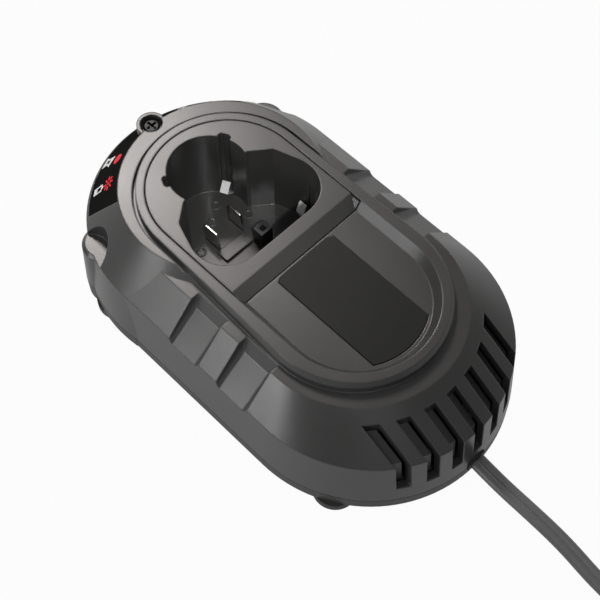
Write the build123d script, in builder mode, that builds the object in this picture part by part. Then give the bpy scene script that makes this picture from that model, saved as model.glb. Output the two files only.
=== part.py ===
from build123d import *
import os
from math import cos, degrees, pi, radians, sin, sqrt, tan

# Desktop charger for slim, post-shaped power tool batteries. The battery stands in a
# three-lobed well at one end and the mains lead leaves at the other.
# X runs from the indicator end to the lead, Z is up and the feet stand on Z = 0.
# All sizes are in millimetres.

# Skins and clearances
wall = 2.4
skin_drop = 3.6  # thickness of the slopes, measured straight down
floor_thickness = 2.0
fit = 0.3  # clearance between pieces that don't touch
seat = 0.15  # clearance between pieces that locate each other

# Heights above the table, and steps down from the top
base_height = 3.3
seam_height = 8.2
crease_height = 26.3  # where the wall turns into the slopes
top_height = 40.7
crescent_drop = 1.1
shoulder_drop = 4.1
flare_drop = 1.7  # where the rim's sloping edge ends
moat_drop = 2.6
boss_drop = 1.7
crescent_height = top_height - crescent_drop
shoulder_height = top_height - shoulder_drop
rim_flare_height = top_height - flare_drop
moat_floor = top_height - moat_drop
boss_height = top_height - boss_drop
inner_floor = base_height + floor_thickness

# Housing outline: two round ends joined by straight sides
end_offset = 30.2  # centre of each round end from the middle
base_radius = 42.75  # at the bottom edge
base_chamfer = 0.4
seam_groove = 0.3
seam_lean = 0.05  # the wall leans in this much up to the seam,
wall_lean = 1.65  # and this much from the seam to the crease
seam_radius = base_radius - seam_lean
crease_radius = seam_radius - wall_lean

# The wall swells between each rear lug and the straight flank
swell = 0.6
swell_end_x = -23.0
swell_ramp = 1.6

# Battery well opening, the rim round it and the recess inside the rim's front half
deck_radius = 23.4
deck_groove = 0.35
rim_width = 2.9
rim_spread = 1.1  # the rim is this much wider at its front end
rim_flare = 0.95
moat_width = 1.3
crescent_width = 2.6
ledge_width = 3.25
rim_rear_x = -28.1
rim_front_x = 22.6
rim_radius = deck_radius + rim_width  # at the rear end
rim_front_radius = rim_radius + rim_spread
rim_foot_radius = rim_front_radius + rim_flare
moat_x = -27.7
moat_radius = rim_radius + moat_width
crescent_radius = moat_radius + crescent_width  # edge of the raised crescent behind the rim
shoulder_radius = rim_foot_radius + ledge_width  # where the slopes meet the ledge
front_shoulder_x = 24.4  # centre of the shoulder's front end
recess_depth = 3.06
recess_front_x = 23.8
front_rim_width = 3.6
recess_side_y = rim_front_radius - front_rim_width  # half width of the recess at the top
recess_step_x = -0.8  # top edge of the step between deck and recess
recess_draft_side = 2.2  # how far the side wall leans in
recess_draft_step = 3.7  # how far the step leans in

# Label plate in the recess
plate_rear_x = 3.9
plate_front_x = 22.9
plate_half_width = 10.85
plate_margin = 2.6
plate_front_radius = recess_side_y - plate_margin
plate_thickness = 0.8
plate_proud = 0.2

# Finger grips in both flanks
grip_spans = [(-9.0, 3.1), (10.4, 22.6)]
grip_margin = 0.25
grip_steep_width = 2.5
grip_depth = 3.9
grip_top_y = rim_foot_radius + grip_margin
grip_bend_y = grip_top_y + grip_steep_width
grip_bend_height = shoulder_height - grip_depth
grip_fall = 0.81  # slope of the grip floor, fall over run
grip_reach = base_radius + wall
grip_round = 1.7  # between the floor and the end walls

# Air slots through the front slope and end wall
slot_count = 7
slot_pitch = 7.57
slot_width = 3.75
sill_rise = 6.0
slot_shift = 0.7
slot_margin = 4.4
slot_sill = seam_height + sill_rise
slot_centre_x = front_shoulder_x - slot_shift  # the slots begin on a circle about this point
slot_radius = shoulder_radius + slot_margin
bar_width = 2.9
baffle_thickness = 1.3
baffle_foot = slot_sill - wall
baffle_strip = 3.0

# Rear lugs: a flared column under a scooped shoulder
lug_inset = 5.8
lug_circle = base_radius - lug_inset
lug_angle = 62.3  # from the rear
lug_x = -end_offset - lug_circle * cos(radians(lug_angle))
lug_y = lug_circle * sin(radians(lug_angle))
lug_radius = 6.6
lug_flare = 1.0  # added to the radius down to the seam
lug_foot_height = 1.2
lug_drop = 1.1
lug_height = crease_height - lug_drop
lug_round = 1.0
scoop_radius = 6.9
scoop_x = lug_x
scoop_shift = 6.1
scoop_y = lug_y + scoop_shift

# Indicator windows, bent round the rear cone
window_border = 1.05
window_inner_radius = crescent_radius + fit
window_outer_radius = crease_radius - window_border
window_inner_angle = 57.0  # where the end edge runs out at the top, from the rear
window_outer_angle = 50.3  # and at the bottom
window_thickness = 1.5
window_sink = 0.15

# Rear screw and its boss
boss_shift = 0.7
boss_x = -end_offset - crescent_radius - boss_shift
boss_radius = 4.5
boss_neck_radius = 3.8
counterbore_radius = 3.4
counterbore_depth = 2.6
top_head_radius = 2.5
top_head_height = 1.8
top_screw_tip = 9.4
cross_slot = (3.4, 0.8, 1.8)
rear_post_height = 16.9

# Indicator board under the windows
led_board_drop = 3.1
led_board_margin = 3.9
led_edge = 1.9  # from the lamps to the board's outer edge
led_board_width = 4.8
led_board_height = crease_height - led_board_drop
led_board_thickness = 1.2
led_board_radii = (crease_radius - led_board_margin - led_board_width, crease_radius - led_board_margin)
led_circle = led_board_radii[1] - led_edge
led_board_angle = 50.0
led_radius = 1.5
led_length = 4.3
led_angles = (22.0, 36.0)
led_peg_angle = 45.0
led_peg_radius = 1.6
light_port_radius = 1.8

# Battery well
cup_floor = 12.0
cup_wall = 1.3
deck_thickness = 2.2
cup_floor_thickness = 1.8
flange_width = 2.2
flange_thickness = 1.6
rear_lobe_x = -35.9
rear_lobe_radius = 12.2
front_lobe_x = -16.2
front_lobe_y = 10.9
front_lobe_radius = 11.1
waist = (-32.4, 12.8)
waist_end = (-27.9, 18.6)
flank_angle = 111.2  # where the straight flank meets the front lobe
keyway_angle = 115.0
keyway_width = 3.9
keyway_radius = 13.7
keyway_chamfer = 0.7
step_pad_size = (4.3, 11.1, 0.8)
step_pad_x = -24.75
step_pad_y = -1.2
ring_places = [(-36.55, 0), (-40.4, 5.1), (-30.8, 10), (-30.8, -10)]
ring_radius = 1.5
ring_width = 0.3
ring_height = 0.25
guide_groove = (0.5, 0.5, 12.0)
guide_groove_x = -15.9

# Contacts in the well
blade_y = 5.0
blade_thickness = 0.8
blade_foot = (-34.0, -27.8)
blade_tip = (-33.4, -28.7)
contact_rise = 7.1
contact_height = cup_floor + contact_rise
post_x = -20.6
post_y = 6.6
post_size = (3.9, 4.5)
post_hole = 1.8
leaf_thickness = 0.5
clip_width = 2.7
clip_profile = [(13.2, 0.0), (9.3, 4.5), (11.8, 7.1)]  # from the rear lobe's centre, above the floor
spring_x = -17.6
spring_width = 2.9
spring_profile = [(21.3, 0.0), (19.8, 4.7), (21.2, 8.4)]  # from the middle, above the floor

# Feet and case screws
foot_inset = 5.5
foot_circle = base_radius - foot_inset
front_foot_angle = 60.0
rear_foot_angle = 72.7
foot_radius = 6.75
foot_sink = 0.4
foot_round = 1.2
post_radius = 3.6
lower_post_radius = 4.2
case_head_radius = 2.7
case_head_height = 1.8
case_shank_radius = 1.3
case_screw_length = 14.0

# Circuit board
board_thickness = 1.6
board_standoff = 1.0
board_margin = 4.5
standoff_radius = 2.6
standoff_inset = 4.3  # from the front feet, lengthways
standoff_gap = 11.2  # from the lugs' axes, crossways
standoff_x = end_offset + foot_circle * cos(radians(front_foot_angle)) - standoff_inset
standoff_y = lug_y - standoff_gap
board_length = 2 * (standoff_x + board_margin)
board_width = 2 * (standoff_y + board_margin)
floor_slot_offset = 22.0
floor_slot_length = 24.0
floor_slot_width = 2.0
floor_slot_pitch = 6.0
floor_slot_count = 5

# Mains lead: a flat twin cord
cord_width = 5.2
cord_height = 3.2
cord_exit_rise = 2.5
cord_exit_height = inner_floor + cord_exit_rise
cord_joint = 0.4  # gap where the lead's square end meets the plug
end_wall_x = end_offset + seam_radius
gland_end_x = end_wall_x + fit
gland_inner_x = 56.0
gland_neck = (6.6, 4.6)
gland_tail = (5.6, 3.6)
gland_flange = (10.4, 5.2)
gland_flange_inset = 3.1
gland_flange_thickness = 2.4
gland_flange_front = end_wall_x - gland_flange_inset
gland_flange_x = (gland_flange_front - gland_flange_thickness, gland_flange_front)
gland_flange_lift = 0.8  # the flange stands clear of the floor
clamp_gap = 5.4
clamp_x = gland_flange_x[0] - clamp_gap
clamp_width = 6.0
clamp_span = 21.0
clamp_height = 5.8
clamp_screw_y = 7.4
small_head_radius = 2.4
small_head_height = 1.6
small_shank_radius = 1.2

# The lead's two cores, from the strain relief to the terminal on the board
lead_radius = 1.0
lead_spacing = 5.0
lead_entry = 3.0
lead_lift = 2.8  # above the board
core_spacing = 2.6
core_mid_x = 50.6
core_bend = 3.0

# Coil of the spare lead, and the plug beside it
coil_x = 164.0
coil_inner_turn = 26.0
coil_outer_turn = 36.4
coil_layers = 4
layer_pitch = 3.3
lead_bends = [(15.0, 0.0), (39.0, 0.3), (59.0, 0.6)]  # from the housing's end
lead_entry_x = 14.0  # the lead runs in under the coil this far before its centre
tail_bends = [(13.0, 0.0), (21.0, -0.1), (29.0, 0.1)]  # before the coil's centre
tail_heights = (10.8, 8.0)
plug_x = 130.0
plug_width = 35.3
plug_height = 13.7
plug_length = 36.0
pin_spacing = 19.0
pin_radius = 2.0
pin_length = 19.0
plug_corner = 4.0
plug_chamfer = 1.2

# What stands on the circuit board
roof_height = shoulder_height - skin_drop  # underside of the flat top
board_bottom = inner_floor + board_standoff
board_top = board_bottom + board_thickness
headroom = 4.1
short_step = 3.0
tall_piece = roof_height - board_top - headroom
board_corner = 2.0
transformer_place = (20.0, -2.0)
core_size = (25.0, 8.0, tall_piece)
core_limb = 3.2
winding_overhang = 5.0
capacitor_list = [
    ("mains_capacitor", (38.0, standoff_y - 7.9), 6.3, tall_piece),
    ("output_capacitor", (12.0, 4.5 - standoff_y), 5.0, tall_piece - short_step),
]
heatsink_place = (18.0, standoff_y - 4.5)
heatsink_size = (20.0, tall_piece - short_step)
fin_thickness = 1.6
fin_depth = 5.0
fin_pitch = 4.5
fin_count = 5
transistor_size = (10.0, 4.4, 15.0)
choke_place = (31.0, -18.0)
choke_radius = 5.2
choke_section = 2.6
suppressor_place = (36.4, -3.0)
suppressor_size = (6.0, 12.0, 11.0)
fuse_place = (43.5, -11.5)
fuse_radius = 3.6
fuse_height = 7.5
terminal_place = (44.9, 0.0)
terminal_size = (7.0, 12.0, 8.0)
chip_place = (2.0, 10.0)
chip_size = (7.0, 5.0, 1.6)

both_lugs = [(lug_x, lug_y), (lug_x, -lug_y)]
both_scoops = [(scoop_x, scoop_y), (scoop_x, -scoop_y)]
wall_draft = wall_lean / (crease_height - seam_height)
cone_fall = (crescent_height - crease_height) / (crease_radius - crescent_radius)
foot_places = [
    (end * (end_offset + foot_circle * cos(radians(angle))), side * foot_circle * sin(radians(angle)))
    for end, angle in ((1, front_foot_angle), (-1, rear_foot_angle))
    for side in (1, -1)
]


def standing(radius, low, high, mode=Mode.ADD):
    """Upright round post between two heights, at the current locations."""
    with Locations((0, 0, low)):
        return Cylinder(radius, high - low, align=(Align.CENTER, Align.CENTER, Align.MIN), mode=mode)


def round_ended(rear_x, rear_radius, front_x, front_radius):
    """Outline of two round ends and the straight sides that touch both."""
    lean = (rear_radius - front_radius) / (front_x - rear_x)
    across = sqrt(1 - lean**2)
    rear = (rear_x + rear_radius * lean, rear_radius * across)
    front = (front_x + front_radius * lean, front_radius * across)
    with BuildSketch() as outline:
        with BuildLine():
            Line(rear, front)
            ThreePointArc(front, (front_x + front_radius, 0), (front[0], -front[1]))
            Line((front[0], -front[1]), (rear[0], -rear[1]))
            ThreePointArc((rear[0], -rear[1]), (rear_x - rear_radius, 0), rear)
        make_face()
    return outline.sketch


def housing_ring(radius):
    """The housing's outline at the given end radius."""
    return round_ended(-end_offset, radius, end_offset, radius)


def rear_tongue(radius, front_x):
    """Round rear end of the rim's outline, cut off square at front_x."""
    with BuildSketch() as outline:
        with Locations((rim_rear_x, 0)):
            Circle(radius)
        with Locations((rim_rear_x, 0)):
            Rectangle(front_x - rim_rear_x, 2 * radius, align=(Align.MIN, Align.CENTER))
        with Locations((front_x, 0)):
            Rectangle(radius, 3 * radius, align=(Align.MIN, Align.CENTER), mode=Mode.SUBTRACT)
    return outline.sketch


def front_bay(side_y, rear_x):
    """Recess outline: straight rear edge and sides, round front end."""
    with BuildSketch() as outline:
        with Locations((recess_front_x, 0)):
            Circle(side_y)
        with Locations((rear_x, 0)):
            Rectangle(recess_front_x - rear_x, 2 * side_y, align=(Align.MIN, Align.CENTER))
        with Locations((rear_x, 0)):
            Rectangle(
                recess_front_x + side_y - rear_x,
                2 * side_y,
                align=(Align.MIN, Align.CENTER),
                mode=Mode.INTERSECT,
            )
    return outline.sketch


def trefoil():
    """Plan of the battery well: one rear lobe, two front lobes and two keyways."""
    flank = radians(flank_angle)
    flank_x = front_lobe_x + front_lobe_radius * cos(flank)
    flank_y = front_lobe_y + front_lobe_radius * sin(flank)
    half = [
        (rear_lobe_x, 0),
        waist,
        waist_end,
        (flank_x, flank_y),
        (front_lobe_x + front_lobe_radius, front_lobe_y),
    ]
    other_half = [(x, -y) for x, y in reversed(half[1:])]
    with BuildSketch() as outline:
        with Locations((rear_lobe_x, 0)):
            Circle(rear_lobe_radius)
        with Locations((front_lobe_x, front_lobe_y), (front_lobe_x, -front_lobe_y)):
            Circle(front_lobe_radius)
        Polygon(*half, *other_half, align=None)
    return outline.sketch


def keyways(width, radius):
    """The two grooves in the rear lobe, as bars from its centre."""
    with BuildSketch() as bars:
        for turn in (keyway_angle, -keyway_angle):
            with Locations(Location((rear_lobe_x, 0), turn)):
                Rectangle(radius, width, align=(Align.MIN, Align.CENTER))
        chamfer(
            bars.vertices().filter_by(
                lambda v: (Vector(rear_lobe_x, 0) - Vector(v.X, v.Y)).length > radius - 0.1
            ),
            keyway_chamfer,
        )
    return bars.sketch


# Outer form of the upper housing, without the rim
with BuildPart() as form:
    with BuildSketch(Plane.XY.offset(seam_height)):
        add(housing_ring(seam_radius))
    with BuildSketch(Plane.XY.offset(crease_height)):
        add(housing_ring(crease_radius))
    loft(ruled=True)
    with BuildSketch(Plane.XY.offset(crease_height)):
        add(housing_ring(crease_radius))
    with BuildSketch(Plane.XY.offset(shoulder_height)):
        add(round_ended(-end_offset, shoulder_radius, front_shoulder_x, shoulder_radius))
    loft(ruled=True)
    with Locations((-end_offset, 0, crease_height)):
        Cone(
            crease_radius,
            crescent_radius,
            crescent_height - crease_height,
            align=(Align.CENTER, Align.CENTER, Align.MIN),
        )


def swollen(low, low_radius, high, high_radius):
    """Swelling of the rear wall between lugs and straight flanks, between two heights."""
    with BuildPart() as bulge:
        with Locations((-end_offset, 0, low)):
            Cone(low_radius, high_radius, high - low, align=(Align.CENTER, Align.CENTER, Align.MIN))
        with BuildSketch(Plane.XY.offset(low)):
            for side in (1, -1):
                Polygon(
                    (lug_x, side * rim_radius),
                    (lug_x, side * 2 * base_radius),
                    (swell_end_x - swell_ramp, side * 2 * base_radius),
                    (swell_end_x - swell_ramp, side * (low_radius - swell / 3)),
                    (swell_end_x, side * (low_radius - 2 * swell)),
                    (swell_end_x, side * rim_radius),
                    align=None,
                )
        extrude(amount=high - low, mode=Mode.INTERSECT)
    return bulge.part


def hollow(drop, inset, roof):
    """Inside of the form: slopes lowered by drop, wall moved in by inset."""
    top_radius = seam_radius - inset - wall_draft * (roof - seam_height)
    with BuildPart() as inner:
        with BuildSketch(Plane.XY.offset(seam_height)):
            add(housing_ring(seam_radius - inset))
        with BuildSketch(Plane.XY.offset(roof)):
            add(housing_ring(top_radius))
        loft(ruled=True)
        add(Pos(0, 0, -drop) * form.part, mode=Mode.INTERSECT)
    return inner.part


def grips(drop, grow, rounding=0):
    """Finger grips in both flanks, sunk by drop, widened by grow, floor edges rounded."""
    bend = grip_bend_height - drop
    with BuildPart() as tool:
        for first, last in grip_spans:
            with BuildSketch(Plane.YZ.offset(first - grow)):
                Polygon(
                    (grip_top_y - grow, top_height),
                    (grip_top_y - grow, shoulder_height - drop),
                    (grip_bend_y - grow / 2, bend),
                    (grip_reach, bend - grip_fall * (grip_reach - grip_bend_y)),
                    (grip_reach, top_height),
                    align=None,
                )
            extrude(amount=last - first + 2 * grow)
        if rounding:
            end_edges = tool.faces().filter_by(Axis.X).edges().filter_by(Axis.Z, reverse=True)
            fillet([edge for edge in end_edges if edge.center().Z < bend], rounding)
        mirror(about=Plane.XZ)
    return tool.part


def window_band(sink, thickness, gap):
    """Ring of the rear cone's skin that a pair of windows fills."""
    inner = window_inner_radius - gap
    outer = window_outer_radius + gap
    rise = sqrt(1 + cone_fall**2)

    def cone_height(radius, depth):
        return crease_height + (crease_radius - radius) * cone_fall - depth * rise

    with BuildPart() as band:
        with BuildSketch(Plane.XZ.shift_origin((-end_offset, 0, 0))):
            Polygon(
                (-inner, cone_height(inner, sink)),
                (-outer, cone_height(outer, sink)),
                (-outer, cone_height(outer, sink + thickness)),
                (-inner, cone_height(inner, sink + thickness)),
                align=None,
            )
        turn_axis = Axis((-end_offset, 0, 0), (0, 0, 1))
        revolve(axis=turn_axis, revolution_arc=window_inner_angle + 2 * degrees(gap / inner))
        # The end edge isn't radial
        reach = [
            (-end_offset - radius * cos(radians(angle)), -radius * sin(radians(angle)) - gap)
            for radius, angle in (
                (window_inner_radius, window_inner_angle),
                (window_outer_radius, window_outer_angle),
            )
        ]
        run = (reach[1][0] - reach[0][0], reach[1][1] - reach[0][1])
        with BuildSketch():
            Polygon(
                (reach[0][0] - run[0], reach[0][1] - run[1]),
                (reach[1][0] + run[0], reach[1][1] + run[1]),
                (reach[1][0] + run[0], -3 * base_radius),
                (reach[0][0] - run[0], -3 * base_radius),
                align=None,
            )
        extrude(amount=2 * top_height, mode=Mode.SUBTRACT)
    return band.part


slot_places = [(index - (slot_count - 1) / 2) * slot_pitch for index in range(slot_count)]
slot_reach = end_offset + seam_radius + wall

with BuildPart() as slots:
    with Locations(*[(slot_centre_x, y, slot_sill) for y in slot_places]):
        Box(
            slot_reach - slot_centre_x,
            slot_width,
            top_height,
            align=(Align.MIN, Align.CENTER, Align.MIN),
        )
    with Locations((slot_centre_x, 0, 0)):
        Cylinder(slot_radius, 3 * top_height, mode=Mode.SUBTRACT)

with BuildPart() as cavity:
    add(hollow(skin_drop, wall, roof_height))
    add(grips(skin_drop - seat, wall), mode=Mode.SUBTRACT)
    # The skin stays closed behind the scoops
    with Locations(*both_scoops):
        standing(scoop_radius + wall, lug_height - wall, 2 * top_height, Mode.SUBTRACT)

with BuildPart() as recess:
    with BuildSketch(Plane.XY.offset(top_height - recess_depth)):
        add(front_bay(recess_side_y - recess_draft_side, recess_step_x + recess_draft_step))
    with BuildSketch(Plane.XY.offset(top_height)):
        add(front_bay(recess_side_y, recess_step_x))
    loft(ruled=True)

def plate_shape(grow):
    """Label plate outline, its front end following the recess."""
    with BuildSketch() as outline:
        with Locations((plate_front_x, 0)):
            Circle(plate_front_radius + grow)
        with Locations((plate_rear_x - grow, 0)):
            Rectangle(
                plate_front_x + plate_front_radius - plate_rear_x + 2 * grow,
                2 * (plate_half_width + grow),
                align=(Align.MIN, Align.CENTER),
                mode=Mode.INTERSECT,
            )
    return outline.sketch


def well_shape(grow):
    """Plan of the battery well with its keyways, grown by a wall."""
    with BuildSketch() as outline:
        add(trefoil())
        add(keyways(keyway_width, keyway_radius))
        if grow:
            offset(amount=grow)
    return outline.sketch


led_places = [
    (-end_offset - led_circle * cos(radians(turn)), side * led_circle * sin(radians(turn)))
    for side in (1, -1)
    for turn in led_angles
]
led_pegs = [
    (-end_offset - led_circle * cos(radians(led_peg_angle)), side * led_circle * sin(radians(led_peg_angle)))
    for side in (1, -1)
]
standoffs = [(x, y) for x in (standoff_x, -standoff_x) for y in (standoff_y, -standoff_y)]
step_foot_x = recess_step_x + recess_draft_step
plate_bed = top_height - recess_depth + plate_proud - plate_thickness
led_board_top = led_board_height + led_board_thickness
cord_hole = (gland_neck[0] + 2 * fit, gland_neck[1] + 2 * fit)

with BuildPart() as window_seats:
    add(window_band(-wall, wall + window_sink + window_thickness + seat, seat))
    mirror(about=Plane.XZ)
    with Locations((boss_x, 0)):
        Cylinder(boss_radius, 3 * top_height, mode=Mode.SUBTRACT)

with BuildPart() as cord_port:
    with BuildSketch(Plane.YZ.offset(end_wall_x - 2 * wall)):
        with Locations((0, cord_exit_height)):
            RectangleRounded(*cord_hole, cord_hole[1] / 3)
    extrude(amount=4 * wall)

with BuildPart() as upper_housing:
    add(form.part)
    add(swollen(seam_height, seam_radius + swell, crease_height, crease_radius))
    add(cavity.part, mode=Mode.SUBTRACT)
    # Narrow moat between crescent and rim
    with BuildSketch(Plane.XY.offset(moat_floor)):
        add(round_ended(moat_x, moat_radius, rim_front_x, moat_radius))
    extrude(amount=top_height, mode=Mode.SUBTRACT)
    # Rim, upright at the rear and with a sloping edge in front
    with BuildSketch(Plane.XY.offset(roof_height)):
        add(round_ended(rim_rear_x, rim_radius, rim_front_x, rim_foot_radius))
    extrude(amount=rim_flare_height - roof_height)
    with BuildSketch(Plane.XY.offset(rim_flare_height)):
        add(round_ended(rim_rear_x, rim_radius, rim_front_x, rim_foot_radius))
    with BuildSketch(Plane.XY.offset(top_height)):
        add(round_ended(rim_rear_x, rim_radius, rim_front_x, rim_front_radius))
    loft(ruled=True)
    # The recess, and its floor thinned from below
    add(recess.part, mode=Mode.SUBTRACT)
    with BuildSketch(Plane.XY.offset(roof_height)):
        add(front_bay(recess_side_y - 2 * wall, step_foot_x + 2 * wall))
    extrude(amount=plate_bed - wall / 2 - roof_height, mode=Mode.SUBTRACT)
    # Opening that the battery well comes up through
    with BuildSketch(Plane.XY.offset(roof_height - wall)):
        add(rear_tongue(deck_radius + deck_groove, step_foot_x + seat))
    extrude(amount=top_height, mode=Mode.SUBTRACT)
    with BuildSketch(Plane.XY.offset(plate_bed)):
        add(plate_shape(seat))
    extrude(amount=top_height, mode=Mode.SUBTRACT)
    # Lugs with rounded tops under the scooped shoulder
    with Locations(*[(x, y, seam_height) for x, y in both_lugs]):
        Cone(
            lug_radius + lug_flare,
            lug_radius,
            lug_height - lug_round - seam_height,
            align=(Align.CENTER, Align.CENTER, Align.MIN),
        )
    with BuildSketch(Plane.XY.offset(lug_height - lug_round)):
        with Locations(*both_lugs):
            Circle(lug_radius)
    extrude(amount=lug_round, taper=45)
    with Locations(*both_lugs):
        standing(lug_radius - wall, seam_height, lug_height - wall, Mode.SUBTRACT)
    with Locations(*both_scoops):
        standing(scoop_radius, lug_height, 2 * top_height, Mode.SUBTRACT)
    # Boss of the rear screw, stepped where it carries the indicator board
    with Locations((boss_x, 0)):
        standing(boss_neck_radius, rear_post_height + fit, boss_height)
        standing(boss_radius, led_board_top, boss_height)
        standing(counterbore_radius, boss_height - counterbore_depth, top_height, Mode.SUBTRACT)
        standing(case_shank_radius + seat, seam_height, top_height, Mode.SUBTRACT)
    with Locations(*led_pegs):
        standing(led_peg_radius, led_board_top, crease_height + 2 * wall)
    with Locations(*led_places):
        standing(light_port_radius, led_board_top, top_height, Mode.SUBTRACT)
    # Posts over the case screws
    with Locations(*foot_places):
        standing(post_radius, seam_height, base_height + case_screw_length + 2 * wall)
        standing(case_shank_radius + seat, seam_height, base_height + case_screw_length + wall, Mode.SUBTRACT)
    add(window_seats.part, mode=Mode.SUBTRACT)
    add(grips(0, 0, grip_round), mode=Mode.SUBTRACT)
    add(slots.part, mode=Mode.SUBTRACT)
    add(cord_port.part, mode=Mode.SUBTRACT)

with BuildPart() as lower_housing:
    with BuildSketch(Plane.XY.offset(base_height)):
        add(housing_ring(base_radius - base_chamfer))
    with BuildSketch(Plane.XY.offset(base_height + base_chamfer)):
        add(housing_ring(base_radius))
    loft(ruled=True)
    with BuildSketch(Plane.XY.offset(base_height + base_chamfer)):
        add(housing_ring(base_radius))
    with BuildSketch(Plane.XY.offset(seam_height)):
        add(housing_ring(seam_radius))
    loft(ruled=True)
    add(swollen(base_height + base_chamfer, base_radius + swell, seam_height, seam_radius + swell))
    add(swollen(base_height, base_radius + swell - base_chamfer, base_height + base_chamfer, base_radius + swell))
    with Locations(*both_lugs):
        standing(lug_radius + lug_flare, lug_foot_height, seam_height)
    with BuildSketch(Plane.XY.offset(inner_floor)):
        add(housing_ring(seam_radius - wall))
    extrude(amount=seam_height, mode=Mode.SUBTRACT)
    # Shadow groove that hides the seam
    with BuildSketch(Plane.XY.offset(seam_height - seam_groove)):
        add(housing_ring(seam_radius + wall))
        add(housing_ring(seam_radius - seam_groove), mode=Mode.SUBTRACT)
        with Locations(*both_lugs):
            Circle(lug_radius + lug_flare - seam_groove, mode=Mode.SUBTRACT)
    extrude(amount=seam_groove, mode=Mode.SUBTRACT)
    with Locations(*foot_places):
        standing(lower_post_radius, base_height, seam_height)
    with Locations((boss_x, 0)):
        standing(boss_neck_radius, base_height, rear_post_height)
        standing(case_shank_radius + seat, inner_floor, rear_post_height, Mode.SUBTRACT)
    with Locations(*standoffs):
        standing(standoff_radius, base_height, board_bottom)
        standing(small_shank_radius + seat, base_height + seat, board_bottom, Mode.SUBTRACT)
    with Locations((clamp_x, clamp_screw_y), (clamp_x, -clamp_screw_y)):
        standing(small_shank_radius + seat, base_height + seat, inner_floor, Mode.SUBTRACT)
    # Seats of the rubber feet, with the case screws sunk under them
    with Locations(*foot_places):
        standing(foot_radius + seat, 0, base_height + foot_sink, Mode.SUBTRACT)
        standing(case_head_radius + fit, 0, base_height + foot_sink + case_head_height + fit, Mode.SUBTRACT)
        standing(case_shank_radius + seat, 0, seam_height, Mode.SUBTRACT)
    # Air slots in the floor
    with Locations((0, 0, base_height)):
        with GridLocations(2 * floor_slot_offset, floor_slot_pitch, 2, floor_slot_count):
            Box(floor_slot_length, floor_slot_width, 3 * floor_thickness, mode=Mode.SUBTRACT)
    add(cord_port.part, mode=Mode.SUBTRACT)

with BuildPart() as battery_cup:
    # Deck that fills the opening in the rim, with its flange underneath
    with BuildSketch(Plane.XY.offset(roof_height)):
        add(rear_tongue(deck_radius, step_foot_x - seat))
    extrude(amount=top_height - roof_height)
    with BuildSketch(Plane.XY.offset(roof_height - flange_thickness)):
        add(rear_tongue(deck_radius + flange_width, step_foot_x + flange_width))
    extrude(amount=flange_thickness)
    # Well
    with BuildSketch(Plane.XY.offset(cup_floor - cup_floor_thickness)):
        add(well_shape(cup_wall))
    extrude(amount=roof_height - cup_floor + cup_floor_thickness)
    # The deck is thinned from below, outside the well
    with BuildSketch(Plane.XY.offset(roof_height - flange_thickness)):
        add(rear_tongue(deck_radius - wall, recess_step_x - wall))
        add(well_shape(cup_wall), mode=Mode.SUBTRACT)
    extrude(amount=top_height - deck_thickness - roof_height + flange_thickness, mode=Mode.SUBTRACT)
    with BuildSketch(Plane.XY.offset(cup_floor)):
        add(well_shape(0))
    extrude(amount=top_height, mode=Mode.SUBTRACT)
    add(recess.part, mode=Mode.SUBTRACT)
    # Raised step and ejector rings on the floor
    with Locations((step_pad_x, step_pad_y, cup_floor)):
        Box(*step_pad_size, align=(Align.CENTER, Align.CENTER, Align.MIN))
    with BuildSketch(Plane.XY.offset(cup_floor)):
        with Locations(*ring_places):
            Circle(ring_radius)
            Circle(ring_radius - ring_width, mode=Mode.SUBTRACT)
    extrude(amount=ring_height)
    # Guide grooves over the signal springs
    groove_y = front_lobe_y + front_lobe_radius
    with Locations(*[(guide_groove_x, side * groove_y, cup_floor + guide_groove[2]) for side in (1, -1)]):
        Box(guide_groove[0], 2 * guide_groove[1], guide_groove[2], mode=Mode.SUBTRACT)
    # Slots for the blades
    for side in (1, -1):
        with Locations(((blade_foot[0] + blade_foot[1]) / 2, side * blade_y, cup_floor)):
            Box(
                blade_foot[1] - blade_foot[0] + 2 * seat,
                blade_thickness + 2 * seat,
                3 * cup_floor_thickness,
                mode=Mode.SUBTRACT,
            )

with BuildPart() as label_plate:
    with BuildSketch(Plane.XY.offset(plate_bed)):
        add(plate_shape(0))
    extrude(amount=plate_thickness)

windows = {}
for name, about in (("indicator_window_left", None), ("indicator_window_right", Plane.XZ)):
    with BuildPart() as window:
        add(window_band(window_sink, window_thickness, 0))
        with Locations((boss_x, 0)):
            Cylinder(boss_radius + seat, 3 * top_height, mode=Mode.SUBTRACT)
        if about:
            mirror(about=about, mode=Mode.REPLACE)
    windows[name] = window

# Comb of bars that keeps fingers and screws out of the air slots
with BuildPart() as comb:
    with BuildSketch(Plane.XY.offset(baffle_foot)):
        with Locations(*[(slot_centre_x, y) for y in slot_places]):
            Rectangle(slot_reach - slot_centre_x, bar_width, align=(Align.MIN, Align.CENTER))
        with Locations((slot_centre_x, 0)):
            Circle(slot_radius - baffle_strip, mode=Mode.SUBTRACT)
            Circle(slot_radius - seat)
            Circle(slot_radius - baffle_strip, mode=Mode.SUBTRACT)
        with Locations((slot_centre_x, 0)):
            Rectangle(
                slot_reach,
                (slot_count - 1) * slot_pitch + bar_width,
                align=(Align.MIN, Align.CENTER),
                mode=Mode.INTERSECT,
            )
    extrude(amount=roof_height - baffle_foot)
    with BuildSketch(Plane.XY.offset(baffle_foot)):
        with Locations((slot_centre_x, 0)):
            Rectangle(
                slot_reach,
                (slot_count - 1) * slot_pitch + bar_width,
                align=(Align.MIN, Align.CENTER),
            )
            Circle(slot_radius, mode=Mode.SUBTRACT)
    extrude(amount=slot_sill - baffle_foot - fit)

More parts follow.
